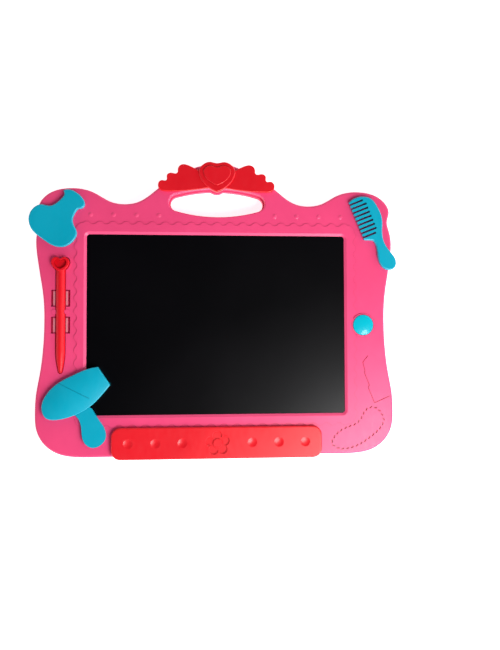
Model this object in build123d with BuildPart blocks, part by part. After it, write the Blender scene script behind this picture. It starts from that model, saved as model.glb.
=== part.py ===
from build123d import *
import os
from math import asin, atan2, degrees

# Toy LCD drawing tablet with a handle, a clip-in pen, moulded ornaments and an erase button.
# It lies flat on its back: +Z leaves the screen, +Y points at the handle, +X is to the right.
# The origin is on the resting face, straight under the middle of the screen. Millimetres.

os.makedirs("parts", exist_ok=True)

# ---------------------------------------------------------------- driving dimensions
screen_w = 249.0          # visible writing area of a 12-inch panel
screen_h = 173.0
screen_corner_r = 3.0

rear_wall = 2.0           # back wall of the rear shell
side_wall = 2.2           # side wall of both shells
parting_z = 7.0           # where the two shells meet
underside_z = 13.9        # inner face of the front wall
field_z = 15.5            # outer face of the front wall
plateau_z = 16.0          # raised field inside the wavy line, and the seats under the ornaments
front_edge_r = 2.0
rear_edge_r = 3.0
hole_edge_r = 1.2
rear_hole_step = 1.2      # the handle hole is narrower in the rear shell, all round
seam_r = 0.4              # both shells are rounded where they meet
lip_height = 1.3
lip_gap = 0.1

tape_t = 0.2
panel_t = 1.2
board_t = 1.5             # stiffener behind the panel
panel_border = 4.5        # the panel runs this far past the visible area
board_inset = 1.0         # the stiffener is this much smaller than the panel, each side
panel_top_z = underside_z - tape_t
panel_bottom_z = panel_top_z - panel_t
board_bottom_z = panel_bottom_z - board_t
panel_half_x = screen_w / 2 + panel_border
panel_half_y = screen_h / 2 + panel_border
fence_gap = 0.3
fence_t = 1.6

wing_z = 18.6
heart_z = 20.0
heart_top_z = 21.0
bar_z = 19.8
bottle_z = 19.4
comb_z = 19.4
dryer_z = 22.2
dryer_grip_z = 19.0

post_r = 2.0              # ornament posts, through the front wall
post_hole_r = 2.2
post_bottom_z = 14.0
post_bore_r = 0.9
post_bore_top_z = 17.8

button_x, button_y = 142.7, -0.7
button_r = 10.0
button_gap = 0.35
button_ring_r = 11.4
button_ring_z = 16.4
button_ring_bevel = 0.3

pen_x = -148.5
pen_z = 14.3              # height of the pen's axis
pen_r = 4.4
pen_tip_y = -46.3
pen_top_y = 55.0
pen_nib_r = 2.0
groove_gap = 0.5
groove_wall = 1.6
stud_y = 12.0             # two round studs hold the pen in its side notches
stud_r, stud_reach, stud_gap = 2.4, 3.5, 0.3
arm_w, arm_drop = 2.1, 0.4
pocket_w, pocket_wall, pocket_depth = 2.0, 1.6, 3.2
pocket_spans = ((-8.5, 7.5), (17.0, 33.0))
head_bottom_z = 11.8
head_top_z = 19.2
head_pocket_z = 11.2

pcb_bottom_z = 6.4
pcb_t = 1.6
pcb_top_z = pcb_bottom_z + pcb_t
pcb_x0, pcb_x1 = 134.0, 158.0
pcb_y0, pcb_y1 = -24.0, 34.0

cell_x, cell_y = 147.0, -50.0
cell_r, cell_t = 10.0, 3.2
cell_z = 2.7
door_w, door_l = 30.0, 41.0
door_y1 = -34.5
door_y0 = door_y1 - door_l
door_t = 2.2
door_gap = 0.3
bay_wall = 1.6
bay_roof_z = 7.2
bay_top_z = 8.6
door_screw_y = -71.0
door_tongue_w = 12.0
door_edge_r = 1.0         # the door swings about the middle of its rounded inner edge

lock_x, lock_y = 150.0, 22.0
lock_travel = 3.0

# ---------------------------------------------------------------- outlines seen from above


def turn_of(way):
    """Angle of a direction seen from above, in degrees from +X."""
    return degrees(atan2(way.Y, way.X))


def both_sides(points):
    """The points, and their mirror images in the plane x = 0."""
    return [(x, y) for x, y in points] + [(-x, y) for x, y in points]


# Right-hand half of the casing, from the top of the handle to the bottom middle.
casing_half = [
    (20, 153), (38, 143.6), (56, 132.4), (66, 124.2), (75, 118.7), (90, 116), (103, 118.6),
    (117, 126.4), (129, 130.2), (142, 130.7), (156, 127.6), (166, 120.3), (170.2, 110.5),
    (168.3, 101.5), (170.4, 91), (172, 80), (170.9, 65), (168.3, 48), (165.3, 29), (164, 0),
    (165, -23), (168.4, -50), (171.2, -66), (172.1, -84), (170.2, -101.5), (162.5, -114.2),
    (149, -122.8), (134, -125.6), (110, -125.9), (70, -125.7),
]
casing_top, casing_bottom = (0, 156), (0, -125.6)
casing_left = [(-x, y) for x, y in reversed(casing_half)]
with BuildSketch() as casing:
    with BuildLine():
        Spline(casing_top, *casing_half, casing_bottom, *casing_left, periodic=True)
    make_face()


def casing_inset(distance):
    """The casing's outline, moved inwards, as one smooth closed curve."""
    edge = casing.edges()[0]
    count = 160
    points = []
    for i in range(count):
        way = edge.tangent_at(i / count)
        points.append(edge.position_at(i / count) + Vector(-way.Y, way.X) * distance)
    with BuildSketch() as inset:
        with BuildLine():
            Spline(*points, periodic=True)
        make_face()
    return inset.sketch


# Handle hole: two wide arcs with round ends, and a soft dent under the heart's tip.
hole_y = 118.1
hole_arc_r = 145.0
hole_half_h = 13.9
hole_end_r = 8.5
dent_r = 8.0
dent_end_r = 4.0
dent_y = 129.7 + dent_r


def handle_outline(grow):
    """The handle hole's outline, moved outwards."""
    with BuildSketch() as outline:
        with Locations((0, hole_y + hole_half_h - hole_arc_r)):
            Circle(hole_arc_r + grow)
        with Locations((0, hole_y - hole_half_h + hole_arc_r)):
            Circle(hole_arc_r + grow, mode=Mode.INTERSECT)
        fillet(outline.vertices(), hole_end_r + grow)
        with Locations((0, dent_y)):
            Circle(dent_r - grow, mode=Mode.SUBTRACT)
        fillet(outline.vertices().group_by(Axis.Y)[-1], dent_end_r + grow)
    return outline.sketch


with BuildSketch() as handle_hole:
    add(handle_outline(0))
with BuildSketch() as handle_sleeve:
    add(handle_outline(side_wall))

with BuildSketch() as window:
    RectangleRounded(screen_w, screen_h, screen_corner_r)

# Wavy border of the raised field: arcs that bulge out and in by turns.
wave_half_x, wave_top_y, wave_bottom_y = 134.5, 97.2, -96.6
wave_corner_r = 7.0
wave_depth = 1.35
wave_side = 6.25          # half a wave, as near as a whole number of them allows


def wavy_side(start, end):
    """Arcs from start to end, bulging to the left and to the right of the way by turns."""
    start, end = Vector(*start), Vector(*end)
    count = 2 * round((end - start).length / wave_side / 2) + 1
    step = (end - start) / count
    outward = Vector(-step.Y, step.X).normalized() * wave_depth
    for i in range(count):
        near = start + step * i
        bulge = outward if i % 2 == 0 else outward * -1
        ThreePointArc(near, near + step / 2 + bulge, near + step)


with BuildSketch() as wavy_field:
    with BuildLine():
        corners = [
            (-wave_half_x, wave_bottom_y, -1, -1), (-wave_half_x, wave_top_y, -1, 1),
            (wave_half_x, wave_top_y, 1, 1), (wave_half_x, wave_bottom_y, 1, -1),
        ]
        ends = []
        for x, y, out_x, out_y in corners:
            centre = (x - out_x * wave_corner_r, y - out_y * wave_corner_r)
            on_upright = (x, centre[1])
            on_level = (centre[0], y)
            crown = wave_corner_r / 2 ** 0.5
            middle = (centre[0] + out_x * crown, centre[1] + out_y * crown)
            first, last = (on_upright, on_level) if out_x * out_y < 0 else (on_level, on_upright)
            ThreePointArc(first, middle, last)
            ends.append((first, last))
        for i in range(4):
            wavy_side(ends[i][1], ends[(i + 1) % 4][0])
    make_face()

# Heart in the middle of the crest.
heart_side = [
    (0, 127.6), (9.2, 132.6), (16.8, 142.8), (17.4, 149.4), (13.1, 154.8), (6.6, 157.0),
    (1.6, 156.0), (0, 155.8),
]
heart_middle_side = [
    (0, 133.8), (7.0, 137.4), (12.6, 144.2), (13.1, 148.4), (10.1, 152.0), (5.4, 153.0),
    (1.5, 151.7), (0, 151.4),
]


def heart_outline(points, centre_y=0.0, wider=1.0, taller=1.0):
    """A heart from its right-hand side, stretched about a point on its axis."""
    side = [(x * wider, centre_y + (y - centre_y) * taller) for x, y in points]
    with BuildSketch() as outline:
        with BuildLine():
            Spline(*side)
            Spline(*[(-x, y) for x, y in reversed(side)])
        make_face()
    return outline.sketch


with BuildSketch() as heart:
    add(heart_outline(heart_side))
with BuildSketch() as heart_middle:
    add(heart_outline(heart_middle_side))

# Right-hand wing of the crest: three feathers. Its inner end lies under the heart.
wing_edge = [
    (4.2, 144.0), (14.0, 147.3), (21.5, 151.3), (27.5, 153.9), (31.8, 154.6), (35.4, 152.9),
    (36.9, 149.2), (37.3, 146.4), (38.4, 145.6), (41.5, 145.9), (45.4, 145.7), (47.5, 143.0),
    (47.5, 139.6), (48.6, 138.6), (51.0, 138.8), (54.4, 137.8), (55.8, 134.3), (54.7, 130.4),
    (51.4, 128.6), (46.0, 128.2), (36.0, 128.4), (26.0, 129.2), (14.0, 130.8), (4.2, 132.2),
]
with BuildSketch() as right_wing:
    with BuildLine():
        feathers = Spline(*wing_edge)
        Line(feathers @ 1, feathers @ 0)
    make_face()
wing_mirror = Plane.YZ.offset(-0.5)
with BuildSketch() as left_wing:
    add(mirror(right_wing.sketch, about=wing_mirror, mode=Mode.PRIVATE))

# Scent bottle ornament: two round lobes below, and its tilted cap above.
with BuildSketch() as bottle:
    with BuildLine():
        body = Spline(
            (-146.0, 127.2), (-145.3, 122.6), (-148.0, 119.2), (-152.8, 114.9), (-158.5, 112.6),
            (-167.0, 113.8), (-175.2, 108.6), (-178.1, 100.2), (-175.0, 89.7), (-166.3, 81.8),
            (-156.0, 75.0), (-146.5, 73.5), (-137.0, 78.8), (-133.3, 87.5), (-137.1, 97.8),
            (-135.8, 104.2), (-131.6, 110.3),
        )
        foot = Spline(body @ 1, (-128.5, 110.6), (-126.2, 112.8), (-126.6, 118.0), (-130.5, 123.2),
                      (-137.0, 127.4), (-142.0, 128.4), body @ 0)
    make_face()
    fillet(bottle.vertices(), 0.9)

# Comb ornament: its outline before the gaps between the teeth are cut.
tip_line_top, tip_line_bottom = (129.0, 119.3), (143.9, 82.9)
with BuildSketch() as comb:
    with BuildLine():
        spine = Spline(
            tip_line_top, (133.6, 122.9), (142.4, 125.4), (151.0, 123.5), (157.6, 115.4),
            (162.0, 104.0), (162.2, 88.0), (165.2, 78.0), (170.9, 70.2), (175.4, 62.8),
            (174.1, 55.5), (167.9, 53.2), (161.6, 56.7), (157.7, 66.3), (155.9, 77.5),
            (152.6, 82.0), (148.0, 82.4), tip_line_bottom,
        )
        Line(spine @ 1, spine @ 0)
    make_face()

tooth_count = 10
tooth_pitch = 4.3
gap_w = 1.9
gap_hole_r = 1.15
gap_reach = 14.9          # from the tips to the middle of a gap's round end
gap_reach_ends = 12.6     # the first and last gaps are shorter

# Hair dryer ornament: the round body with its nozzle, and the grip below it.
nozzle_top, nozzle_bottom = (-112.9, -40.3), (-101.4, -57.2)
with BuildSketch() as dryer_body:
    with BuildLine():
        shell = Spline(
            nozzle_top, (-121.0, -41.7), (-135.0, -47.4), (-149.0, -54.8), (-160.2, -65.6),
            (-164.7, -79.0), (-160.8, -87.9), (-149.0, -89.5), (-134.0, -85.4),
            (-120.7, -78.0), (-110.8, -68.6), nozzle_bottom,
        )
        Line(shell @ 1, shell @ 0)
    make_face()
    fillet(dryer_body.vertices(), 0.9)
with BuildSketch() as dryer_grip:
    with BuildLine():
        inner = Spline((-137.5, -84.0), (-132.1, -87.2), (-128.8, -93.8), (-127.6, -103.4),
                       (-125.6, -110.8), (-118.8, -116.1), (-110.8, -114.4), (-105.6, -107.6),
                       (-106.2, -99.6), (-110.5, -92.0), (-114.8, -85.6))
        Polyline(inner @ 1, (-118.4, -79.6), (-124.0, -76.0), (-137.5, -79.0), inner @ 0)
    make_face()
    fillet(dryer_grip.vertices().sort_by(Axis.X)[-2:], 0.5)

bar_half_w, bar_top_y, bar_bottom_y, bar_corner_r = 100.6, -98.0, -128.3, 9.0
bar_mid_y = (bar_top_y + bar_bottom_y) / 2
with BuildSketch() as bar:
    with Locations((0, bar_mid_y)):
        RectangleRounded(2 * bar_half_w, bar_top_y - bar_bottom_y, bar_corner_r)

# Lipstick: a fine groove along its slanted tip, its stepped side and its foot.
lipstick_line = [
    (147.4, -30.8), (142.2, -37.0), (144.4, -45.8), (143.5, -46.9), (148.6, -59.6),
    (147.3, -61.6), (153.6, -76.8), (168.6, -70.3),
]
lipstick_w, lipstick_depth = 0.7, 0.6

# Bean-shaped line of stitches.
stitch_count = 29
stitch_l, stitch_w, stitch_depth = 3.2, 1.4, 0.8
stitch_tilt = 22.0
with BuildLine(Plane.XY) as stitch_line:
    Spline(
        (111.3, -113.6), (117.0, -105.4), (126.0, -100.2), (135.5, -96.4), (140.6, -90.6),
        (145.6, -83.0), (152.5, -81.0), (159.6, -86.2), (162.4, -94.0), (158.0, -102.2),
        (147.0, -111.3), (136.0, -117.8), (124.5, -120.8), (115.0, -119.2), periodic=True,
    )

bump_xs = [56.0, 77.5, 99.2, 120.8]
bump_y, bump_r, bump_h = 105.3, 2.3, 0.55
dimple_xs = [33.3, 58.8, 84.5]
dimple_y, dimple_r, dimple_depth = -113.0, 4.6, 0.8

# ---------------------------------------------------------------- where things are fastened
case_screws_at = both_sides([(60, 115), (112, 108), (152, 112), (160, 74), (158, -92), (102, -112)])
bottle_posts = [(-163, 97), (-147, 84), (-137, 118)]
comb_posts = [(146.6, 121.4), (158.6, 98), (164, 63)]
dryer_posts = [(-150, -74), (-136.5, -62), (-117.5, -105)]
bar_posts = [(-70, -112), (0, -112), (70, -112)]
right_wing_posts = [(44, 132.8), (27, 141)]
left_wing_posts = [(2 * wing_mirror.origin.X - x, y) for x, y in right_wing_posts]
heart_posts = [(0, 139.5), (0, 149.5)]
all_posts = (bottle_posts + comb_posts + dryer_posts + bar_posts + right_wing_posts
             + left_wing_posts + heart_posts)

boss_r = 4.0
front_boss_r = 3.3
case_bore_r = 1.35
case_bore_top_z = 12.6
screw_well_r = 3.3
screw_well_z = 4.0
case_clearance_r = 1.7

# ---------------------------------------------------------------- helpers
upwards = (Align.CENTER, Align.CENTER, Align.MIN)


def cap_radius(rim_r, height):
    """Radius of the sphere whose cap has this rim and height."""
    return (rim_r ** 2 + height ** 2) / (2 * height)


def caps(places, base_z, rim_r, height):
    """Low round domes standing on the plane z = base_z; each sphere's cut-off lies below it."""
    r = cap_radius(rim_r, height)
    rim_latitude = 90 - degrees(asin(rim_r / r))
    root = 1.0
    with Locations(*[(x, y, base_z + height - r) for x, y in places]):
        Sphere(r, arc_size1=rim_latitude - root, arc_size2=90, align=None)


def pen_half_profile(gap):
    """Half of the pen seen from above, to the right of its axis, made larger by the gap."""
    cone_y = -27.0
    r, nib_r = pen_r + gap, pen_nib_r + gap
    low_end, high_end = pen_tip_y - gap, pen_top_y + gap
    crown = nib_r / 2 ** 0.5
    with BuildSketch() as half:
        with BuildLine():
            nib = ThreePointArc((0, low_end), (crown, low_end + nib_r - crown), (nib_r, low_end + nib_r))
            cone = ThreePointArc(nib @ 1, (r - 1.15, (low_end + cone_y) / 2 - 1.5), (r, cone_y))
            shaft = Line(cone @ 1, (r, high_end))
            Polyline(shaft @ 1, (0, high_end), (0, low_end))
        make_face()
    return half.sketch


pen_plane = Plane(origin=(pen_x, 0, pen_z))
pen_axis = Axis((pen_x, 0, pen_z), (0, 1, 0))


def pen_head_outline(gap):
    """Heart-shaped head of the pen, stretched so that it grows by about the gap all round."""
    side = [(0, 50.0), (4.6, 52.4), (7.9, 57.0), (7.9, 61.0), (4.6, 63.8), (1.4, 63.0), (0, 62.0)]
    return heart_outline(side, 57.8, 1 + gap / 8.1, 1 + gap / 6.9)


# ---------------------------------------------------------------- ornament seats


def seat(outline):
    """An ornament's seat on the front wall, kept clear of the casing's rounded edges."""
    with BuildSketch() as kept:
        add(outline.sketch)
        add(casing_inset(front_edge_r + 0.1), mode=Mode.INTERSECT)
        add(handle_sleeve.sketch, mode=Mode.SUBTRACT)
    return kept.sketch


# ---------------------------------------------------------------- front casing
with BuildPart() as front_case:
    with BuildSketch(Plane.XY.offset(parting_z)):
        add(casing.sketch)
    extrude(amount=field_z - parting_z)
    fillet(front_case.faces().sort_by(Axis.Z)[-1].edges(), front_edge_r)
    fillet(front_case.faces().sort_by(Axis.Z)[0].edges(), seam_r)
    with BuildSketch(Plane.XY.offset(parting_z)):
        add(handle_hole.sketch)
    extrude(amount=field_z - parting_z, mode=Mode.SUBTRACT)
    fillet(front_case.faces().sort_by(Axis.Z)[-1].inner_wires()[0].edges(), hole_edge_r)

    # hollow, with a rebate that takes the rear casing's lip
    with BuildSketch(Plane.XY.offset(parting_z)):
        add(casing_inset(side_wall))
        add(handle_sleeve.sketch, mode=Mode.SUBTRACT)
    extrude(amount=underside_z - parting_z, mode=Mode.SUBTRACT)
    with BuildSketch(Plane.XY.offset(parting_z)):
        add(casing_inset(side_wall / 2))
        add(casing_inset(side_wall + 0.2), mode=Mode.SUBTRACT)
    extrude(amount=lip_height + lip_gap, mode=Mode.SUBTRACT)

    # fence around the panel, open where the panel's tail comes out
    fence_half_x = panel_half_x + fence_gap
    fence_half_y = panel_half_y + fence_gap
    with BuildSketch(Plane.XY.offset(board_bottom_z)):
        Rectangle(2 * (fence_half_x + fence_t), 2 * (fence_half_y + fence_t))
        Rectangle(2 * fence_half_x, 2 * fence_half_y, mode=Mode.SUBTRACT)
        with Locations((fence_half_x, 18)):
            Rectangle(6, 12, mode=Mode.SUBTRACT)
    extrude(amount=underside_z - board_bottom_z)

    # screw bosses, reaching the parting plane
    with BuildSketch(Plane.XY.offset(parting_z)):
        with Locations(*case_screws_at):
            Circle(front_boss_r)
    extrude(amount=underside_z - parting_z)
    with BuildSketch(Plane.XY.offset(parting_z)):
        with Locations(*case_screws_at):
            Circle(case_bore_r)
    extrude(amount=case_bore_top_z - parting_z, mode=Mode.SUBTRACT)

    # collar that guides the erase button
    collar_r, collar_t, collar_z = 11.7, 1.0, 9.5
    with BuildSketch(Plane.XY.offset(collar_z)):
        with Locations((button_x, button_y)):
            Circle(collar_r + collar_t)
            Circle(collar_r, mode=Mode.SUBTRACT)
    extrude(amount=underside_z - collar_z)

    # pen groove: a trough hanging from the front wall, then the groove cut into it
    trough_z = 7.8
    with BuildSketch(Plane.XY.offset(trough_z)):
        half_trough = pen_half_profile(groove_gap + groove_wall)
        with Locations((pen_x, 0)):
            add(half_trough)
            add(mirror(half_trough, about=Plane.YZ, mode=Mode.PRIVATE))
    extrude(amount=underside_z - trough_z)
    with BuildSketch(Plane((pen_x, 0, head_pocket_z - groove_wall))):
        add(pen_head_outline(groove_gap + groove_wall))
    extrude(amount=underside_z - head_pocket_z + groove_wall)
    arm_out = pen_r + groove_gap + arm_w
    pocket_floor_z = field_z - pocket_depth
    for low_y, high_y in pocket_spans:
        with Locations((pen_x, (low_y + high_y) / 2, pocket_floor_z - pocket_wall)):
            Box(2 * (arm_out + pocket_w + pocket_wall), high_y - low_y + 2 * pocket_wall,
                underside_z - pocket_floor_z + pocket_wall, align=upwards)
    with BuildSketch(pen_plane):
        add(pen_half_profile(groove_gap))
    revolve(axis=pen_axis, mode=Mode.SUBTRACT)
    with BuildSketch(pen_plane):
        add(pen_half_profile(groove_gap))
        mirror(about=Plane.YZ)
    extrude(amount=field_z - pen_z, mode=Mode.SUBTRACT)
    with BuildSketch(Plane((pen_x, 0, head_pocket_z))):
        add(pen_head_outline(groove_gap + 0.2))
    extrude(amount=field_z - head_pocket_z, mode=Mode.SUBTRACT)

    # clip arms beside the pen, freed by a three-sided pocket round each
    slit_w = 1.0
    for low_y, high_y in pocket_spans:
        with BuildSketch(Plane.XY.offset(pocket_floor_z)):
            for side in (-1, 1):
                with Locations((pen_x + side * (arm_out + pocket_w / 2), (low_y + high_y) / 2)):
                    Rectangle(pocket_w, high_y - low_y)
                for end_y in (low_y + slit_w / 2, high_y - slit_w / 2):
                    with Locations((pen_x + side * (arm_out - arm_w / 2), end_y)):
                        Rectangle(arm_w + 1.0, slit_w)
        extrude(amount=pocket_depth, mode=Mode.SUBTRACT)
        with BuildSketch(Plane.XY.offset(field_z - arm_drop)):
            with Locations((pen_x, (low_y + high_y) / 2)):
                Rectangle(2 * arm_out + 0.5, high_y - low_y)
        extrude(amount=arm_drop, mode=Mode.SUBTRACT)

    # round studs that stand in the pen's notches
    studs_at = [(pen_x - stud_reach - stud_r, stud_y), (pen_x + stud_reach + stud_r, stud_y)]
    stud_bottom_z = 9.6
    with BuildSketch(Plane.XY.offset(stud_bottom_z)):
        with Locations(*studs_at):
            Circle(stud_r)
    extrude(amount=field_z + 0.5 - stud_bottom_z)

    # raised field inside the wavy line, the seats of the ornaments, and the small reliefs
    with BuildSketch(Plane.XY.offset(field_z)):
        add(wavy_field.sketch)
        for outline in (heart, right_wing, left_wing, bottle, comb, dryer_body, dryer_grip, bar):
            add(seat(outline))
    extrude(amount=plateau_z - field_z)
    with BuildSketch(Plane.XY.offset(field_z - lipstick_depth)):
        for here, there in zip(lipstick_line, lipstick_line[1:]):
            way = Vector(*there) - Vector(*here)
            middle = Vector(*here) + way / 2
            with Locations(Location((middle.X, middle.Y, 0), (0, 0, turn_of(way)))):
                SlotCenterToCenter(way.length, lipstick_w)
    extrude(amount=lipstick_depth, mode=Mode.SUBTRACT)
    with BuildSketch(Plane.XY.offset(field_z - stitch_depth)):
        for i in range(stitch_count):
            spot = stitch_line.edges()[0].position_at(i / stitch_count)
            way = stitch_line.edges()[0].tangent_at(i / stitch_count)
            with Locations(Location((spot.X, spot.Y, 0), (0, 0, turn_of(way) + stitch_tilt))):
                SlotOverall(stitch_l, stitch_w)
    extrude(amount=stitch_depth, mode=Mode.SUBTRACT)
    with Locations((button_x, button_y, field_z)):
        Cylinder(button_ring_r, button_ring_z - button_ring_bevel - field_z, align=upwards)
    with Locations((button_x, button_y, button_ring_z - button_ring_bevel)):
        Cone(button_ring_r, button_ring_r - button_ring_bevel, button_ring_bevel, align=upwards)
    caps(both_sides([(x, bump_y) for x in bump_xs]), field_z, bump_r, bump_h)

    # screen window: a short upright edge, then a bevel up to the raised field
    with BuildSketch(Plane.XY.offset(underside_z)):
        add(window.sketch)
    extrude(amount=plateau_z - underside_z, mode=Mode.SUBTRACT)
    bevel_foot_z, bevel_run = 14.4, 2.4
    with BuildSketch(Plane.XY.offset(bevel_foot_z)):
        add(window.sketch)
    with BuildSketch(Plane.XY.offset(plateau_z)):
        RectangleRounded(screen_w + 2 * bevel_run, screen_h + 2 * bevel_run,
                         screen_corner_r + bevel_run)
    loft(mode=Mode.SUBTRACT)

    # holes for the erase button and for the ornaments' posts
    with BuildSketch(Plane.XY.offset(underside_z)):
        with Locations((button_x, button_y)):
            Circle(button_r + button_gap)
        with Locations(*all_posts):
            Circle(post_hole_r)
    extrude(amount=button_ring_z - underside_z, mode=Mode.SUBTRACT)

# ---------------------------------------------------------------- rear casing
with BuildPart() as rear_case:
    with BuildSketch():
        add(casing.sketch)
    extrude(amount=parting_z)
    fillet(rear_case.faces().sort_by(Axis.Z)[0].edges(), rear_edge_r)
    fillet(rear_case.faces().sort_by(Axis.Z)[-1].edges(), seam_r)
    with BuildSketch():
        add(handle_outline(-rear_hole_step))
    extrude(amount=parting_z, mode=Mode.SUBTRACT)
    fillet(rear_case.faces().sort_by(Axis.Z)[0].inner_wires()[0].edges(), hole_edge_r)
    with BuildSketch(Plane.XY.offset(rear_wall)):
        add(casing_inset(side_wall))
        add(handle_sleeve.sketch, mode=Mode.SUBTRACT)
    extrude(amount=parting_z - rear_wall, mode=Mode.SUBTRACT)

    # locating lip
    with BuildSketch(Plane.XY.offset(parting_z - 1)):
        add(casing_inset(side_wall / 2 + lip_gap))
        add(casing_inset(side_wall), mode=Mode.SUBTRACT)
    extrude(amount=1 + lip_height)

    # ribs that carry the stiffener behind the panel
    rib_t = 1.6
    rib_h = board_bottom_z - rear_wall
    rib_mid_z = rear_wall + rib_h / 2
    with Locations(*[(x, 0, rib_mid_z) for x in (-90, -30, 30, 90)]):
        Box(rib_t, 170, rib_h)
    with Locations(*[(0, y, rib_mid_z) for y in (-60, 0, 60)]):
        Box(248, rib_t, rib_h)

    # screw bosses with wells for the heads, sunk from the back
    with BuildSketch(Plane.XY.offset(rear_wall / 2)):
        with Locations(*case_screws_at):
            Circle(boss_r)
    extrude(amount=parting_z - rear_wall / 2)
    with BuildSketch():
        with Locations(*case_screws_at):
            Circle(screw_well_r)
    extrude(amount=screw_well_z, mode=Mode.SUBTRACT)
    with BuildSketch():
        with Locations(*case_screws_at):
            Circle(case_clearance_r)
    extrude(amount=parting_z, mode=Mode.SUBTRACT)

    # battery bay: side walls and roof, with the cell's ring and the screw's boss under the roof
    door_mid_y = (door_y0 + door_y1) / 2
    with Locations((cell_x, door_mid_y, (1 + bay_top_z) / 2)):
        Box(door_w + 2 * bay_wall + 0.6, door_l + 2 * bay_wall + 0.6, bay_top_z - 1)
    with Locations((cell_x, door_mid_y, bay_roof_z / 2)):
        Box(door_w + 2 * door_gap, door_l + 2 * door_gap, bay_roof_z, mode=Mode.SUBTRACT)
    ring_gap, ring_t = 0.4, 1.5
    with BuildSketch(Plane.XY.offset(cell_z)):
        with Locations((cell_x, cell_y)):
            Circle(cell_r + ring_gap + ring_t)
        with Locations((cell_x, door_screw_y)):
            Circle(3.6)
    extrude(amount=bay_roof_z - cell_z)
    with BuildSketch(Plane.XY.offset(cell_z)):
        with Locations((cell_x, cell_y)):
            Circle(cell_r + ring_gap)
        with Locations((cell_x + cell_r + 1.5, cell_y)):
            Rectangle(5.0, 9.0)
        with Locations((cell_x, door_screw_y)):
            Circle(2.2)
    extrude(amount=bay_roof_z - cell_z, mode=Mode.SUBTRACT)
    with Locations((cell_x + cell_r + 0.9, cell_y, bay_top_z)):
        Box(2.4, 5.0, 4.0, mode=Mode.SUBTRACT)
    with Locations((cell_x, cell_y + 6.4, bay_top_z)):
        Box(5.0, 2.4, 4.0, mode=Mode.SUBTRACT)

    # slot in the bay's end wall, in which the door's tongue turns
    with Locations((cell_x, door_y1 + 2.3, 3.7)):
        Box(door_tongue_w + 1.2, 4.4, 3.3, mode=Mode.SUBTRACT)

    # recess and slot for the lock slider
    with BuildSketch():
        with Locations((lock_x, lock_y)):
            SlotOverall(17.0, 9.0, rotation=90)
    extrude(amount=0.6, mode=Mode.SUBTRACT)
    with BuildSketch():
        with Locations((lock_x, lock_y)):
            Rectangle(5.0, 5.0 + lock_travel + 0.6)
    extrude(amount=rear_wall, mode=Mode.SUBTRACT)

    # pegs that hold the circuit board
    pcb_pegs = [(pcb_x0 + 2.5, pcb_y0 + 2.5), (pcb_x1 - 2.5, pcb_y0 + 2.5),
                (pcb_x0 + 2.5, pcb_y1 - 2.5), (pcb_x1 - 2.5, pcb_y1 - 2.5)]
    with BuildSketch(Plane.XY.offset(rear_wall - 0.5)):
        with Locations(*pcb_pegs):
            Circle(2.2)
    extrude(amount=pcb_bottom_z - rear_wall + 0.5)
    with BuildSketch(Plane.XY.offset(pcb_bottom_z - 0.5)):
        with Locations(*pcb_pegs):
            Circle(0.9)
    extrude(amount=pcb_t + 1.1)

# ---------------------------------------------------------------- screen stack
with BuildPart() as panel_tape:
    with BuildSketch(Plane.XY.offset(panel_top_z)):
        Rectangle(2 * panel_half_x - 1, 2 * panel_half_y - 1)
        Rectangle(screen_w + 1, screen_h + 1, mode=Mode.SUBTRACT)
    extrude(amount=tape_t)

with BuildPart() as lcd_panel:
    with BuildSketch(Plane.XY.offset(panel_bottom_z)):
        Rectangle(2 * panel_half_x, 2 * panel_half_y)
    extrude(amount=panel_t)

with BuildPart() as backing_board:
    with BuildSketch(Plane.XY.offset(board_bottom_z)):
        Rectangle(2 * (panel_half_x - board_inset), 2 * (panel_half_y - board_inset))
    extrude(amount=board_t)

# flat flexible tail from the panel's edge down to the board
tail_y, tail_w, tail_t = 18.0, 7.0, 0.2
with BuildPart() as panel_tail:
    with BuildSketch(Plane.XZ.offset(-tail_y - tail_w / 2)):
        with BuildLine() as tail_path:
            FilletPolyline((panel_half_x, panel_bottom_z + 0.4), (132.6, panel_bottom_z + 0.4),
                           (135.4, pcb_top_z + 0.1), (139.0, pcb_top_z + 0.1), radius=1.5)
        trace(line_width=tail_t)
    extrude(amount=tail_w)

# ---------------------------------------------------------------- electronics
with BuildPart() as circuit_board:
    with BuildSketch(Plane.XY.offset(pcb_bottom_z)):
        with Locations(((pcb_x0 + pcb_x1) / 2, (pcb_y0 + pcb_y1) / 2)):
            RectangleRounded(pcb_x1 - pcb_x0, pcb_y1 - pcb_y0, 1.0)
        with Locations(*pcb_pegs):
            Circle(1.05, mode=Mode.SUBTRACT)
    extrude(amount=pcb_t)

blob_at, blob_r, blob_h = (150.5, 13.0), 4.5, 1.6
blob_sphere_r = cap_radius(blob_r, blob_h)
with BuildPart() as chip_cover:
    with Locations((*blob_at, pcb_top_z + blob_h - blob_sphere_r)):
        Sphere(blob_sphere_r, arc_size1=90 - degrees(asin(blob_r / blob_sphere_r)), arc_size2=90,
               align=None)

with BuildPart() as chip_components:
    with Locations(*[(138.5 + 2.6 * i, -18.6, pcb_top_z + 0.4) for i in range(4)]):
        Box(1.2, 2.0, 0.8)
    with Locations((154.5, -14.0, pcb_top_z + 0.6), (154.5, -10.0, pcb_top_z + 0.6)):
        Box(2.8, 1.6, 1.2)

switch_top_z = pcb_top_z + 3.5
plunger_r, plunger_top_z = 1.75, 12.1
with BuildPart() as tact_switch:
    with Locations((button_x, button_y, (pcb_top_z + switch_top_z) / 2)):
        Box(6.0, 6.0, switch_top_z - pcb_top_z)
    chamfer(tact_switch.faces().sort_by(Axis.Z)[-1].edges(), 0.3)
    with BuildSketch(Plane.XY.offset(switch_top_z)):
        with Locations((button_x, button_y)):
            Circle(plunger_r + 0.3)
    extrude(amount=-1.8, mode=Mode.SUBTRACT)

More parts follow.
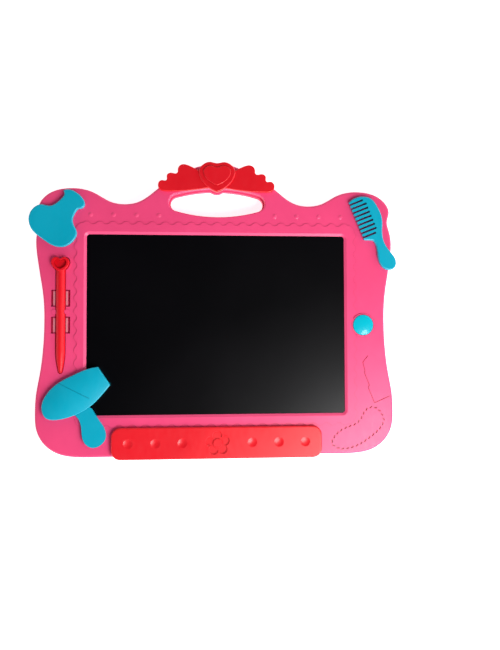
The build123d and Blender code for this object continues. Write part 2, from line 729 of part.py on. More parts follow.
with BuildPart() as tact_plunger:
    with BuildSketch(Plane.XY.offset(switch_top_z - 0.6)):
        with Locations((button_x, button_y)):
            Circle(plunger_r)
    extrude(amount=plunger_top_z - switch_top_z + 0.6)

switch_bottom_z = 3.4
with BuildPart() as slide_switch:
    with Locations((lock_x, lock_y, (switch_bottom_z + pcb_bottom_z) / 2)):
        Box(4.4, 9.0, pcb_bottom_z - switch_bottom_z)
    with Locations((lock_x, lock_y, switch_bottom_z + 0.5)):
        Box(2.0, 6.0, 1.0, mode=Mode.SUBTRACT)

with BuildPart() as switch_lever:
    with Locations((lock_x, lock_y - lock_travel / 2, switch_bottom_z - 0.05)):
        Box(1.4, 1.8, 1.3)

# ---------------------------------------------------------------- battery
with BuildPart() as coin_cell:
    with BuildSketch(Plane.XY.offset(cell_z)):
        with Locations((cell_x, cell_y)):
            Circle(cell_r)
    extrude(amount=cell_t - 0.5)
    chamfer(coin_cell.edges().group_by(Axis.Z)[0], 0.3)
    with BuildSketch(Plane.XY.offset(cell_z + cell_t - 0.5)):
        with Locations((cell_x, cell_y)):
            Circle(cell_r - 1.4)
    extrude(amount=0.5)

strip_t = 0.3
cell_top_z = cell_z + cell_t
with BuildPart() as contact_minus:
    with BuildSketch(Plane.YZ.offset(cell_x - 2)):
        with BuildLine():
            FilletPolyline((cell_y - 6.0, bay_roof_z - 0.2), (cell_y - 1.0, cell_top_z + 0.16),
                           (cell_y + 3.0, bay_roof_z - 0.4), (cell_y + 6.4, bay_roof_z - 0.3),
                           (cell_y + 6.4, bay_top_z + 1.0), radius=0.5)
        trace(line_width=strip_t)
    extrude(amount=4.0)

with BuildPart() as contact_plus:
    with BuildSketch(Plane.XZ.offset(-cell_y - 2)):
        with BuildLine():
            FilletPolyline((cell_x + cell_r + 0.9, cell_z + 0.6), (cell_x + cell_r + 0.16, cell_z + 1.6),
                           (cell_x + cell_r + 0.9, cell_z + 3.0), (cell_x + cell_r + 0.9, bay_top_z + 1.0),
                           radius=0.5)
        trace(line_width=strip_t)
    extrude(amount=4.0)

# insulated leads from the contacts' tabs to the board
lead_r = 0.6


def lead(start, middle, end):
    """A round lead along two runs joined by an arc."""
    with BuildPart() as wire:
        with BuildLine():
            route = FilletPolyline(start, middle, end, radius=5.0)
        with BuildSketch(Plane(route @ 0, z_dir=route % 0)):
            Circle(lead_r)
        sweep()
    return wire.part


lead_z = 9.4
with BuildPart() as plus_lead:
    add(lead((cell_x + cell_r + 0.9, cell_y + 2.0, lead_z), (cell_x + cell_r + 0.9, -30, lead_z),
             (153.0, -22.0, pcb_top_z + lead_r)))
with BuildPart() as minus_lead:
    add(lead((cell_x, cell_y + 6.4 + strip_t / 2, lead_z), (cell_x, -33, lead_z),
             (143.0, -22.0, pcb_top_z + lead_r)))

# ---------------------------------------------------------------- battery door and its screw
door_screw_head_r, door_screw_r = 2.6, 1.2
with BuildPart() as battery_door:
    with BuildSketch():
        with Locations((cell_x, (door_y0 + door_y1) / 2)):
            RectangleRounded(door_w, door_l, 1.5)
    extrude(amount=door_t)
    fillet(battery_door.faces().sort_by(Axis.Z)[0].edges(), door_edge_r)
    # tongue that hooks over the rear wall
    with Locations((cell_x, door_y1 + 0.6, door_t + 0.5)):
        Box(door_tongue_w, 4.2, 1.0)
    # sunk seat for the screw's head
    with BuildSketch():
        with Locations((cell_x, door_screw_y)):
            Circle(door_screw_head_r + 0.3)
    extrude(amount=1.5, mode=Mode.SUBTRACT)
    with BuildSketch():
        with Locations((cell_x, door_screw_y)):
            Circle(door_screw_r + 0.3)
    extrude(amount=door_t, mode=Mode.SUBTRACT)
    # finger ridges
    with Locations(*[(cell_x, -42.0 - 2.2 * i, 0) for i in range(4)]):
        Box(14.0, 0.8, 0.6, mode=Mode.SUBTRACT)


def cross_recess(places, face_z, depth):
    """Cross-shaped drives cut upwards into screw heads that face down."""
    with Locations(*[(x, y, face_z + depth / 2) for x, y in places]):
        Box(2.6, 0.7, depth, mode=Mode.SUBTRACT)
        Box(0.7, 2.6, depth, mode=Mode.SUBTRACT)


with BuildPart() as battery_door_screw:
    with BuildSketch(Plane.XY.offset(0.2)):
        with Locations((cell_x, door_screw_y)):
            Circle(door_screw_head_r)
    extrude(amount=1.1)
    with BuildSketch(Plane.XY.offset(1.3)):
        with Locations((cell_x, door_screw_y)):
            Circle(door_screw_r)
    extrude(amount=3.7)
    cross_recess([(cell_x, door_screw_y)], 0.2, 0.7)

# ---------------------------------------------------------------- lock slider
with BuildPart() as lock_slider:
    rest_y = lock_y - lock_travel / 2
    with Locations((lock_x, rest_y, 2.6)):
        Box(8.0, 12.0, 0.6)
    with Locations((lock_x, rest_y, 1.35)):
        Box(4.4, 5.0, 2.3)
    with Locations(*[(lock_x, rest_y + dy, 0.2) for dy in (-1.5, 0, 1.5)]):
        Box(4.4, 0.6, 0.5, mode=Mode.SUBTRACT)
    with Locations((lock_x, rest_y, 2.6)):
        Box(1.8, 2.2, 0.8, mode=Mode.SUBTRACT)

# ---------------------------------------------------------------- fasteners
with BuildPart() as case_screws:
    with BuildSketch(Plane.XY.offset(screw_well_z - 1.8)):
        with Locations(*case_screws_at):
            Circle(2.7)
    extrude(amount=1.8)
    chamfer(case_screws.edges().group_by(Axis.Z)[0], 0.5)
    with BuildSketch(Plane.XY.offset(screw_well_z)):
        with Locations(*case_screws_at):
            Circle(case_bore_r - 0.05)
    extrude(amount=8.0)
    cross_recess(case_screws_at, screw_well_z - 1.8, 1.0)

with BuildPart() as ornament_screws:
    with BuildSketch(Plane.XY.offset(underside_z - 0.5)):
        with Locations(*all_posts):
            Circle(3.4)
    extrude(amount=0.5)
    with BuildSketch(Plane.XY.offset(underside_z - 1.8)):
        with Locations(*all_posts):
            Circle(2.0)
    extrude(amount=1.3)
    with BuildSketch(Plane.XY.offset(underside_z)):
        with Locations(*all_posts):
            Circle(post_bore_r - 0.05)
    extrude(amount=3.6)
    cross_recess(all_posts, underside_z - 1.8, 0.8)

# ---------------------------------------------------------------- erase button
flange_top_z = underside_z - 0.3
with BuildPart() as erase_button:
    with BuildSketch(Plane.XY.offset(12.4)):
        with Locations((button_x, button_y)):
            Circle(11.2)
    extrude(amount=flange_top_z - 12.4)
    with BuildSketch(Plane.XY.offset(12.4)):
        with Locations((button_x, button_y)):
            Circle(button_r)
    extrude(amount=17.0 - 12.4)
    fillet(erase_button.faces().sort_by(Axis.Z)[-1].edges(), 1.0)
    caps([(button_x, button_y)], 17.0, button_r - 1.4, 0.7)
    with BuildSketch(Plane.XY.offset(plunger_top_z)):
        with Locations((button_x, button_y)):
            Circle(1.5)
    extrude(amount=0.4)

# ---------------------------------------------------------------- ornaments


def posts(places):
    """Posts under an ornament, through the front wall, each bored for its screw."""
    with Locations(*[(x, y, post_bottom_z) for x, y in places]):
        Cylinder(post_r, plateau_z - post_bottom_z, align=upwards)
        Cylinder(post_bore_r, post_bore_top_z - post_bottom_z, align=upwards, mode=Mode.SUBTRACT)


def flat_ornament(outline, top_z, edge_r, places):
    """A flat moulding with a rounded upper edge, and its posts."""
    with BuildPart() as ornament:
        with BuildSketch(Plane.XY.offset(plateau_z)):
            add(outline.sketch)
        extrude(amount=top_z - plateau_z)
        fillet(ornament.faces().sort_by(Axis.Z)[-1].edges(), edge_r)
        posts(places)
    return ornament.part


with BuildPart() as wing_right:
    add(flat_ornament(right_wing, wing_z, 0.8, right_wing_posts))
with BuildPart() as wing_left:
    mirror(wing_right.part, about=wing_mirror)

# the heart lies over the wings' inner ends and fills the room between them
with BuildPart() as heart_badge:
    with BuildSketch(Plane.XY.offset(plateau_z)):
        add(heart.sketch)
    extrude(amount=heart_z - plateau_z)
    fillet(heart_badge.faces().sort_by(Axis.Z)[-1].edges(), 1.2)
    with BuildSketch(Plane.XY.offset(plateau_z)):
        add(right_wing.sketch)
        add(left_wing.sketch)
    extrude(amount=wing_z - plateau_z, mode=Mode.SUBTRACT)
    with BuildSketch(Plane.XY.offset(heart_z)):
        add(heart_middle.sketch)
    extrude(amount=heart_top_z - heart_z)
    fillet(heart_badge.faces().sort_by(Axis.Z)[-1].edges(), 0.7)
    posts(heart_posts)

with BuildPart() as bottle_badge:
    add(flat_ornament(bottle, bottle_z, 1.3, bottle_posts))

# comb: the gaps run square to the line of the tips and end in round holes
tip_dir = (Vector(*tip_line_bottom) - Vector(*tip_line_top)).normalized()
gap_dir = Vector(-tip_dir.Y, tip_dir.X)
with BuildPart() as comb_badge:
    with BuildSketch(Plane.XY.offset(plateau_z)):
        add(comb.sketch)
    extrude(amount=comb_z - plateau_z)
    back_edges = comb_badge.faces().sort_by(Axis.Z)[-1].edges().sort_by(SortBy.LENGTH)
    fillet(back_edges[-1], 1.2)
    with BuildSketch(Plane.XY.offset(plateau_z)):
        for i in range(tooth_count - 1):
            reach = gap_reach_ends if i in (0, tooth_count - 2) else gap_reach
            start = Vector(*tip_line_top) + tip_dir * (2.8 + tooth_pitch * i)
            end = start + gap_dir * reach
            middle_of_gap = (start + end) / 2 - gap_dir * 1.5
            with Locations(Location((middle_of_gap.X, middle_of_gap.Y, 0), (0, 0, turn_of(gap_dir)))):
                Rectangle(reach + 3.0, gap_w)
            with Locations((end.X, end.Y)):
                Circle(gap_hole_r)
    extrude(amount=comb_z - plateau_z, mode=Mode.SUBTRACT)
    posts(comb_posts)

# dryer: the body is crowned by a barrel that lies along it
dryer_dir = Vector(-0.823, -0.568)
dryer_side = Vector(-dryer_dir.Y, dryer_dir.X)
nozzle_mid = (Vector(*nozzle_top) + Vector(*nozzle_bottom)) / 2
crown_mid = nozzle_mid + dryer_dir * 30 - dryer_side * 1.5
crown_r, crown_bow_r = 70.0, 300.0
crown_plane = Plane(origin=(crown_mid.X, crown_mid.Y, dryer_z - crown_r),
                    x_dir=(dryer_dir.X, dryer_dir.Y, 0), z_dir=(-dryer_side.X, -dryer_side.Y, 0))


def barrel(drop):
    """A long barrel along the dryer's body, its skin lower than the crown by the drop."""
    half_l = 46.0
    reach = crown_r - drop
    bow_r = crown_bow_r - drop
    sag = bow_r - (bow_r ** 2 - half_l ** 2) ** 0.5
    with BuildPart() as solid:
        with BuildSketch(crown_plane):
            with BuildLine():
                bow = ThreePointArc((-half_l, reach - sag), (0, reach), (half_l, reach - sag))
                Polyline(bow @ 1, (half_l, 0), (-half_l, 0), bow @ 0)
            make_face()
        revolve(axis=Axis(crown_plane.origin, crown_plane.x_dir))
    return solid.part


# fine line across the dryer's body, from edge to edge
line_from, line_to = Vector(-150.4, -54.4), Vector(-120.4, -69.6)
line_w, line_depth = 0.5, 0.35
line_mid = (line_from + line_to) / 2
line_turn = turn_of(line_to - line_from)
with BuildPart() as dryer_line:
    with Locations(Location((line_mid.X, line_mid.Y, plateau_z + 5), (0, 0, line_turn))):
        Box((line_to - line_from).length, line_w, 8)
    add(barrel(line_depth), mode=Mode.SUBTRACT)

with BuildPart() as dryer_badge:
    with BuildSketch(Plane.XY.offset(plateau_z)):
        add(dryer_body.sketch)
    extrude(amount=dryer_z - plateau_z + 1)
    add(barrel(0), mode=Mode.INTERSECT)
    fillet(dryer_badge.faces().sort_by(Axis.Z)[-1].edges(), 0.9)
    with BuildSketch(Plane.XY.offset(plateau_z)):
        add(dryer_grip.sketch)
    extrude(amount=dryer_grip_z - plateau_z)
    add(dryer_line.part, mode=Mode.SUBTRACT)
    posts(dryer_posts)

# bar: six round dimples, and a sunk flower whose five petals slope down round a raised middle
petal_count, petal_r, petal_ring_r, petal_slope = 5, 5.0, 7.1, 1.1
flower_depth, flower_core_r = 1.2, 6.6
flower_middle_r, flower_middle_slope, flower_middle_h = 4.9, 0.9, 1.1
flower_at = (0, dimple_y - 0.5)
dimple_sphere_r = cap_radius(dimple_r, dimple_depth)
with BuildPart() as bottom_bar:
    with BuildSketch(Plane.XY.offset(plateau_z)):
        add(bar.sketch)
    extrude(amount=bar_z - plateau_z)
    fillet(bottom_bar.faces().sort_by(Axis.Z)[-1].edges(), 1.3)
    dimples = both_sides([(x, dimple_y) for x in dimple_xs])
    with Locations(*[(x, y, bar_z - dimple_depth + dimple_sphere_r) for x, y in dimples]):
        Sphere(dimple_sphere_r, mode=Mode.SUBTRACT)
    with Locations((*flower_at, bar_z - flower_depth)):
        Cylinder(flower_core_r, flower_depth, align=upwards, mode=Mode.SUBTRACT)
        with PolarLocations(petal_ring_r, petal_count, start_angle=21):
            Cone(petal_r - petal_slope, petal_r, flower_depth, align=upwards, mode=Mode.SUBTRACT)
    with Locations((*flower_at, bar_z - flower_depth)):
        Cone(flower_middle_r, flower_middle_r - flower_middle_slope, flower_middle_h, align=upwards)
    posts(bar_posts)

# ---------------------------------------------------------------- pen
with BuildPart() as pen:
    with BuildSketch(Plane((pen_x, 0, head_bottom_z))):
        add(pen_head_outline(0))
    extrude(amount=head_top_z - head_bottom_z)
    fillet(pen.faces().sort_by(Axis.Z)[-1].edges(), 0.5)
    with BuildSketch(pen_plane):
        add(pen_half_profile(0))
    revolve(axis=pen_axis)
    with Locations(*[(x, y, pen_z) for x, y in studs_at]):
        Cylinder(stud_r + stud_gap, 4 * pen_r, mode=Mode.SUBTRACT)
    with BuildSketch(Plane((pen_x, 0, head_top_z))):
        add(pen_head_outline(-2.2))
    extrude(amount=-2.6, mode=Mode.SUBTRACT)

# ---------------------------------------------------------------- labels and files
front_case.part.label = "front_case"
export_step(front_case.part, "parts/front_case.step")
rear_case.part.label = "rear_case"
export_step(rear_case.part, "parts/rear_case.step")
panel_tape.part.label = "panel_tape"
export_step(panel_tape.part, "parts/panel_tape.step")
lcd_panel.part.label = "lcd_panel"
export_step(lcd_panel.part, "parts/lcd_panel.step")
backing_board.part.label = "backing_board"
export_step(backing_board.part, "parts/backing_board.step")
panel_tail.part.label = "panel_tail"
export_step(panel_tail.part, "parts/panel_tail.step")
circuit_board.part.label = "circuit_board"
export_step(circuit_board.part, "parts/circuit_board.step")
chip_cover.part.label = "chip_cover"
export_step(chip_cover.part, "parts/chip_cover.step")
chip_components.part.label = "chip_components"
export_step(chip_components.part, "parts/chip_components.step")
tact_switch.part.label = "tact_switch"
export_step(tact_switch.part, "parts/tact_switch.step")
tact_plunger.part.label = "tact_plunger"
export_step(tact_plunger.part, "parts/tact_plunger.step")
slide_switch.part.label = "slide_switch"
export_step(slide_switch.part, "parts/slide_switch.step")
switch_lever.part.label = "switch_lever"
export_step(switch_lever.part, "parts/switch_lever.step")
coin_cell.part.label = "coin_cell"
export_step(coin_cell.part, "parts/coin_cell.step")
contact_minus.part.label = "contact_minus"
export_step(contact_minus.part, "parts/contact_minus.step")
contact_plus.part.label = "contact_plus"
export_step(contact_plus.part, "parts/contact_plus.step")
plus_lead.part.label = "plus_lead"
export_step(plus_lead.part, "parts/plus_lead.step")
minus_lead.part.label = "minus_lead"
export_step(minus_lead.part, "parts/minus_lead.step")
battery_door.part.label = "battery_door"
export_step(battery_door.part, "parts/battery_door.step")
battery_door_screw.part.label = "battery_door_screw"
export_step(battery_door_screw.part, "parts/battery_door_screw.step")
lock_slider.part.label = "lock_slider"
export_step(lock_slider.part, "parts/lock_slider.step")
case_screws.part.label = "case_screws"
export_step(case_screws.part, "parts/case_screws.step")
ornament_screws.part.label = "ornament_screws"
export_step(ornament_screws.part, "parts/ornament_screws.step")
erase_button.part.label = "erase_button"
export_step(erase_button.part, "parts/erase_button.step")
wing_left.part.label = "wing_left"
export_step(wing_left.part, "parts/wing_left.step")
wing_right.part.label = "wing_right"
export_step(wing_right.part, "parts/wing_right.step")
heart_badge.part.label = "heart_badge"
export_step(heart_badge.part, "parts/heart_badge.step")
bottle_badge.part.label = "bottle_badge"
export_step(bottle_badge.part, "parts/bottle_badge.step")
comb_badge.part.label = "comb_badge"
export_step(comb_badge.part, "parts/comb_badge.step")
dryer_badge.part.label = "dryer_badge"
export_step(dryer_badge.part, "parts/dryer_badge.step")
bottom_bar.part.label = "bottom_bar"
export_step(bottom_bar.part, "parts/bottom_bar.step")
pen.part.label = "pen"
export_step(pen.part, "parts/pen.step")
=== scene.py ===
from math import radians

import bpy
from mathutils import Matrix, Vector

# Toy drawing tablet: materials, floor, light and camera round the CAD shapes. Metres.

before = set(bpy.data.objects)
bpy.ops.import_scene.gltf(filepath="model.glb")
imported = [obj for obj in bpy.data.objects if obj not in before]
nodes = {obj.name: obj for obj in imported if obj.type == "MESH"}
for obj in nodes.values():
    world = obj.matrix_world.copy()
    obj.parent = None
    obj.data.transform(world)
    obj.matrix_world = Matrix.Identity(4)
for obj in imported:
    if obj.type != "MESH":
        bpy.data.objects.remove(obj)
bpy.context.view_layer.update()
scene = bpy.context.scene
scene.view_settings.view_transform = "Standard"

# ------------------------------------------------------------------ driving values
white = (1.0, 1.0, 1.0)
pink = (0.93, 0.070, 0.215)
rear_pink = (0.88, 0.062, 0.195)
# painted shade for the floors of the stitches and the lipstick's groove
groove_shade_pink = (0.50, 0.028, 0.10)
arm_highlight_pink = (0.66, 0.33, 0.33)      # painted highlight: the clip arms' tops drawn paler, standing in for a reflection
red = (0.80, 0.008, 0.018)
pen_red = (0.82, 0.006, 0.018)
teal = (0.0, 0.40, 0.56)
button_teal = (0.0, 0.50, 0.63)
screen_dark, screen_light = (0.0006, 0.0005, 0.0010), (0.0016, 0.0013, 0.0022)
resist_dark, resist_light = (0.012, 0.09, 0.03), (0.03, 0.17, 0.06)
floor_dark, floor_light = (0.93, 0.93, 0.93), (0.95, 0.95, 0.95)
corner_shade_left = 0.45                        # share of the colour left in a corner under painted shade
plastic_ior = 1.5

pen_x = -0.1485
arm_from_pen = (0.0051, 0.0067)     # the four clip arms, as distances from the pen's axis
arm_spans = ((-0.0070, 0.0060), (0.0185, 0.0315))
arm_top = (0.0146, 0.0158)
groove_floor = (0.0142, 0.0152)     # heights of the floors of the stitches and the lipstick's groove
grooves_right_of = 0.1
level_normal = 0.95

floor_reach = 3.0
floor_z = -0.0004                   # a hair under the resting face, so the two share no plane
floor_glow = 0.8

key_at, key_aim = (0.32, -0.36, 0.54), (0.03, -0.08, 0.0)
key_side, key_power = 0.4, 5.1
strongest_toward = (0.78, -0.62, 0.0)

lens, sensor = 36.0, 36.0
camera_at = (-0.01591, -0.02059, 0.64262)
camera_turn = (1.8317, -4.3268, -0.1946)


# ------------------------------------------------------------------ node helpers

def new_material(name):
    """An empty node material with its tree and shader."""
    mat = bpy.data.materials.new(name)
    mat.use_nodes = True
    tree = mat.node_tree
    return mat, tree, tree.nodes["Principled BSDF"]


def noise(tree, scale, detail=2.0, roughness=0.5, stretch=None):
    """A noise texture in the object's own metres."""
    coords = tree.nodes.new("ShaderNodeTexCoord").outputs["Object"]
    tex = tree.nodes.new("ShaderNodeTexNoise")
    tex.inputs["Scale"].default_value = scale
    tex.inputs["Detail"].default_value = detail
    tex.inputs["Roughness"].default_value = roughness
    if stretch:
        mapping = tree.nodes.new("ShaderNodeMapping")
        mapping.inputs["Scale"].default_value = stretch
        tree.links.new(coords, mapping.inputs["Vector"])
        coords = mapping.outputs["Vector"]
    tree.links.new(coords, tex.inputs["Vector"])
    return tex.outputs["Fac"]


def ramp(tree, source, low, high, at=(0.3, 0.7)):
    """A colour ramp between two colours."""
    node = tree.nodes.new("ShaderNodeValToRGB")
    for element, place, colour in zip(node.color_ramp.elements, at, (low, high)):
        element.position = place
        element.color = (*colour, 1)
    tree.links.new(source, node.inputs["Fac"])
    return node.outputs["Color"]


def spread(tree, source, low, high, at=(0.3, 0.7)):
    """Maps a value's range onto low to high."""
    node = tree.nodes.new("ShaderNodeMapRange")
    node.inputs["From Min"].default_value, node.inputs["From Max"].default_value = at
    node.inputs["To Min"].default_value = low
    node.inputs["To Max"].default_value = high
    tree.links.new(source, node.inputs["Value"])
    return node.outputs["Result"]


def maths(tree, operation, first, second=None):
    """One maths node; the second value may be a number or a socket."""
    node = tree.nodes.new("ShaderNodeMath")
    node.operation = operation
    tree.links.new(first, node.inputs[0])
    if isinstance(second, float):
        node.inputs[1].default_value = second
    elif second:
        tree.links.new(second, node.inputs[1])
    return node.outputs["Value"]


def between(tree, value, span, soft=0.0003):
    """1 where the value lies inside the span, with soft ends."""
    low, high = span
    rise = spread(tree, value, 0.0, 1.0, at=(low - soft, low + soft))
    fall = spread(tree, value, 1.0, 0.0, at=(high - soft, high + soft))
    return maths(tree, "MULTIPLY", rise, fall)


def axes_of(tree, vector):
    """A vector's three numbers."""
    node = tree.nodes.new("ShaderNodeSeparateXYZ")
    tree.links.new(vector, node.inputs["Vector"])
    return node.outputs["X"], node.outputs["Y"], node.outputs["Z"]


def mixed(tree, share, first, second):
    """Mixes a colour socket with a plain colour by a share."""
    blend = tree.nodes.new("ShaderNodeMix")
    blend.data_type = "RGBA"
    tree.links.new(share, blend.inputs[0])
    tree.links.new(first, blend.inputs[6])
    blend.inputs[7].default_value = (*second, 1)
    return blend.outputs[2]


def shade_in_corners(tree, reach=0.0018, most=0.8):
    """Painted shade: how deep a spot lies in a groove or at the foot of a step, from ambient
    occlusion, as the share to darken by.
    """
    corners = tree.nodes.new("ShaderNodeAmbientOcclusion")
    corners.samples = 8
    corners.only_local = True
    corners.inputs["Distance"].default_value = reach
    return spread(tree, corners.outputs["AO"], most, 0.0, at=(0.35, 0.93))


def bump(tree, shader, sources):
    """Stacks bumps; each source is (height, depth in metres)."""
    normal = None
    for height, depth in sources:
        node = tree.nodes.new("ShaderNodeBump")
        node.inputs["Strength"].default_value = 1.0
        node.inputs["Distance"].default_value = depth
        tree.links.new(height, node.inputs["Height"])
        if normal:
            tree.links.new(normal, node.inputs["Normal"])
        normal = node.outputs["Normal"]
    tree.links.new(normal, shader.inputs["Normal"])


# ------------------------------------------------------------------ materials
# Each surface's roughness stays wholly above or wholly below 0.27, where a renderer's noise filter
# changes its method and would draw blotches.

def moulded(name, colour, gloss=0.33, grain=1.0, shade=0.07, coat=0.0, shine=0.5):
    """Injection-moulded plastic: colour drift, flow ripple, fine grain, scuffs and painted shade in
    corners.
    """
    mat, tree, shader = new_material(name)
    dark = tuple(c * (1 - shade) for c in colour)
    light = tuple(min(1.0, c * (1 + shade * 0.6) + 0.004) for c in colour)
    clean = ramp(tree, noise(tree, 16.0, 4.0, 0.6), dark, light)
    # Painted shade: the colour is darkened in grooves and at the feet of steps, standing in for
    # shade.
    corner_shaded = tuple(c * corner_shade_left for c in colour)
    tree.links.new(mixed(tree, shade_in_corners(tree), clean, corner_shaded), shader.inputs["Base Color"])
    scuffs = noise(tree, 260.0, 6.0, 0.7, stretch=(1.0, 0.35, 1.0))
    tree.links.new(spread(tree, scuffs, gloss - 0.05, gloss + 0.08), shader.inputs["Roughness"])
    shader.inputs["IOR"].default_value = plastic_ior
    shader.inputs["Specular IOR Level"].default_value = shine
    shader.inputs["Coat Weight"].default_value = coat
    shader.inputs["Coat Roughness"].default_value = 0.12
    ripple = noise(tree, 70.0, 2.0, 0.5)
    fine = noise(tree, 1400.0, 2.0, 0.6)
    bump(tree, shader, [(ripple, 0.00004), (fine, 0.000003 * grain)])
    return mat


def casing(name, colour, gloss):
    """Casing plastic: a painted highlight on the clip arms' tops, painted shade on the floors of the
    fine grooves.
    """
    mat = moulded(name, colour, gloss)
    tree = mat.node_tree
    base = tree.nodes["Principled BSDF"].inputs["Base Color"]
    plain = base.links[0].from_socket
    x, y, z = axes_of(tree, tree.nodes.new("ShaderNodeTexCoord").outputs["Object"])
    # Painted highlight: a paler pink in patches on the clip arms' tops, standing in for a reflection.
    from_pen = maths(tree, "ABSOLUTE", maths(tree, "ADD", x, -pen_x))
    arms = between(tree, from_pen, arm_from_pen)
    spans = maths(tree, "ADD", *[between(tree, y, span) for span in arm_spans])
    top = between(tree, z, arm_top)
    where = maths(tree, "MULTIPLY", maths(tree, "MULTIPLY", arms, spans), top)
    patches = spread(tree, noise(tree, 400.0, 3.0), 0.65, 0.9)
    arm_highlighted = mixed(tree, maths(tree, "MULTIPLY", where, patches), plain, arm_highlight_pink)
    # Painted shade: the level floors of the stitches and the lipstick's groove, right of x = 0.1 m,
    # drawn in a darker pink.
    facing = axes_of(tree, tree.nodes.new("ShaderNodeNewGeometry").outputs["Normal"])
    level = maths(tree, "GREATER_THAN", facing[2], level_normal)
    sunk = between(tree, z, groove_floor, soft=0.0001)
    right = maths(tree, "GREATER_THAN", x, grooves_right_of)
    shaded_floors = maths(tree, "MULTIPLY", maths(tree, "MULTIPLY", level, sunk), right)
    tree.links.new(mixed(tree, shaded_floors, arm_highlighted, groove_shade_pink), base)
    return mat


def metal(name, colour, gloss=0.35, brushed=(1.0, 1.0, 1.0)):
    """Plated metal with fine lines and slight tarnish."""
    mat, tree, shader = new_material(name)
    dark = tuple(c * 0.72 for c in colour)
    tarnish = ramp(tree, noise(tree, 340.0, 5.0, 0.65), dark, colour)
    tree.links.new(tarnish, shader.inputs["Base Color"])
    shader.inputs["Metallic"].default_value = 1.0
    lines = noise(tree, 900.0, 3.0, 0.6, stretch=brushed)
    tree.links.new(spread(tree, lines, gloss - 0.06, gloss + 0.12), shader.inputs["Roughness"])
    bump(tree, shader, [(lines, 0.000006)])
    return mat


def screen_film(name):
    """Dark, faintly mottled writing film with a smooth hard coat."""
    mat, tree, shader = new_material(name)
    mottle = ramp(tree, noise(tree, 9.0, 3.0, 0.5), screen_dark, screen_light)
    tree.links.new(mottle, shader.inputs["Base Color"])
    smear = noise(tree, 14.0, 4.0, 0.5)
    tree.links.new(spread(tree, smear, 0.28, 0.305), shader.inputs["Roughness"])
    shader.inputs["Specular IOR Level"].default_value = 0.32
    shader.inputs["IOR"].default_value = plastic_ior
    bump(tree, shader, [(noise(tree, 40.0, 2.0, 0.5), 0.00002)])
    return mat


def board(name):
    """Green solder resist over a woven laminate."""
    mat, tree, shader = new_material(name)
    resist = ramp(tree, noise(tree, 420.0, 4.0, 0.7), resist_dark, resist_light)
    tree.links.new(resist, shader.inputs["Base Color"])
    tree.links.new(spread(tree, noise(tree, 300.0, 3.0), 0.29, 0.42), shader.inputs["Roughness"])
    weave = tree.nodes.new("ShaderNodeTexWave")
    weave.inputs["Scale"].default_value = 420.0
    coords = tree.nodes.new("ShaderNodeTexCoord")
    tree.links.new(coords.outputs["Object"], weave.inputs["Vector"])
    bump(tree, shader, [(weave.outputs["Fac"], 0.00001)])
    return mat


looks = {
    "casing_pink": casing("casing_pink", pink, 0.34),
    "rear_pink": moulded("rear_pink", rear_pink, gloss=0.45, grain=3.0),
    "ornament_red": moulded("ornament_red", red),
    "ornament_teal": moulded("ornament_teal", teal),
    "button_teal": moulded("button_teal", button_teal, gloss=0.185, coat=0.3),
    "pen_red": moulded("pen_red", pen_red, gloss=0.36, shine=0.3),
    "screen": screen_film("screen"),
    "dark_plastic": moulded("dark_plastic", (0.02, 0.02, 0.022), gloss=0.5, grain=2.0),
    "board": board("board"),
    "spring_metal": metal("spring_metal", (0.78, 0.76, 0.70), brushed=(0.2, 2.0, 1.0)),
    "screw_metal": metal("screw_metal", (0.66, 0.66, 0.64)),
    "cell_metal": metal("cell_metal", (0.75, 0.75, 0.74), brushed=(0.1, 3.0, 1.0)),
    "lead_red": moulded("lead_red", (0.45, 0.01, 0.01), gloss=0.45),
    "lead_black": moulded("lead_black", (0.015, 0.015, 0.016), gloss=0.45),
    "resin": moulded("resin", (0.008, 0.008, 0.009), gloss=0.34),
    "foam": moulded("foam", (0.05, 0.05, 0.05), gloss=0.8, grain=6.0),
    "polyimide": moulded("polyimide", (0.45, 0.16, 0.02), gloss=0.35),
    "board_paper": moulded("board_paper", (0.30, 0.28, 0.25), gloss=0.7, grain=4.0),
}
wearers = {
    "casing_pink": ("front_case",),
    "rear_pink": ("rear_case", "battery_door"),
    "ornament_red": ("wing_left", "wing_right", "heart_badge", "bottom_bar"),
    "ornament_teal": ("bottle_badge", "comb_badge", "dryer_badge"),
    "button_teal": ("erase_button",),
    "pen_red": ("pen",),
    "screen": ("lcd_panel",),
    "dark_plastic": ("chip_components", "tact_switch", "tact_plunger", "switch_lever", "lock_slider"),
    "board": ("circuit_board",),
    "spring_metal": ("slide_switch", "contact_minus", "contact_plus"),
    "screw_metal": ("battery_door_screw", "case_screws", "ornament_screws"),
    "cell_metal": ("coin_cell",),
    "lead_red": ("plus_lead",),
    "lead_black": ("minus_lead",),
    "resin": ("chip_cover",),
    "foam": ("panel_tape",),
    "polyimide": ("panel_tail",),
    "board_paper": ("backing_board",),
}
for look, names in wearers.items():
    for name in names:
        for place in nodes[name].material_slots:
            place.material = looks[look]

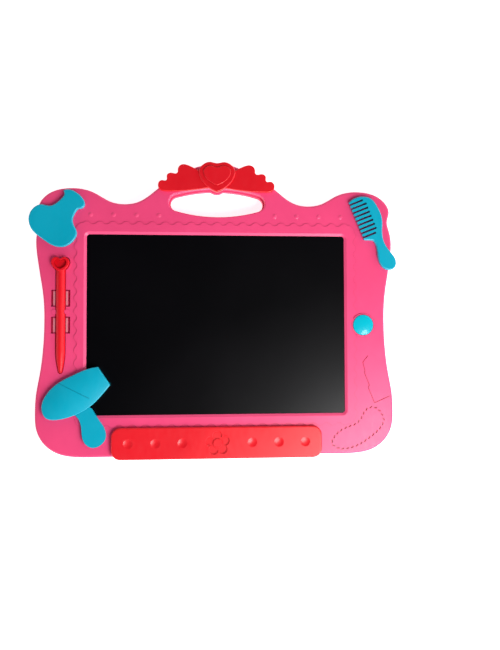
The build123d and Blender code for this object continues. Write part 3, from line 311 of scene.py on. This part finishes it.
# ------------------------------------------------------------------ floor
floor_mesh = bpy.data.meshes.new("floor")
floor_corners = [(-1, -1), (1, -1), (1, 1), (-1, 1)]
floor_mesh.from_pydata(
    [(x * floor_reach, y * floor_reach, floor_z) for x, y in floor_corners], [], [(0, 1, 2, 3)]
)
floor = bpy.data.objects.new("floor", floor_mesh)
scene.collection.objects.link(floor)
floor_mat, floor_tree, floor_shader = new_material("floor_white")
floor_colour = ramp(floor_tree, noise(floor_tree, 3.0), floor_dark, floor_light)
floor_tree.links.new(floor_colour, floor_shader.inputs["Base Color"])
floor_shader.inputs["Roughness"].default_value = 0.9
floor_shader.inputs["Specular IOR Level"].default_value = 0.0
floor_shader.inputs["Emission Color"].default_value = (*white, 1)
floor_shader.inputs["Emission Strength"].default_value = floor_glow
floor_mesh.materials.append(floor_mat)

# ------------------------------------------------------------------ light
# A band of soft light round the horizon, strongest at the lower right, under a dark ceiling.
world = bpy.data.worlds.new("studio")
scene.world = world
world.use_nodes = True
sky = world.node_tree
outwards = sky.nodes.new("ShaderNodeTexCoord").outputs["Generated"]
band = spread(sky, axes_of(sky, outwards)[2], 1.0, 0.0, at=(0.3, 0.8))
toward = sky.nodes.new("ShaderNodeVectorMath")
toward.operation = "DOT_PRODUCT"
toward.inputs[1].default_value = strongest_toward
sky.links.new(outwards, toward.inputs[0])
side = spread(sky, toward.outputs["Value"], 0.7, 2.2, at=(-1.0, 1.0))
background = sky.nodes["Background"]
background.inputs["Color"].default_value = (*white, 1)
sky.links.new(maths(sky, "MULTIPLY", band, side), background.inputs["Strength"])

# A square soft box on the same side.
key_data = bpy.data.lights.new("key", "AREA")
key_data.shape = "SQUARE"
key_data.size = key_side
key_data.energy = key_power
key = bpy.data.objects.new("key", key_data)
scene.collection.objects.link(key)
key.location = key_at
key.rotation_euler = (Vector(key_aim) - Vector(key_at)).to_track_quat("-Z", "Y").to_euler()

# ------------------------------------------------------------------ camera
camera_data = bpy.data.cameras.new("camera")
camera_data.lens = lens
camera_data.sensor_width = sensor
camera_data.sensor_fit = "AUTO"
camera_data.clip_start = 0.01
camera = bpy.data.objects.new("camera", camera_data)
scene.collection.objects.link(camera)
camera.location = camera_at
camera.rotation_euler = [radians(turn) for turn in camera_turn]
bpy.context.scene.camera = camera

bpy.context.view_layer.update()
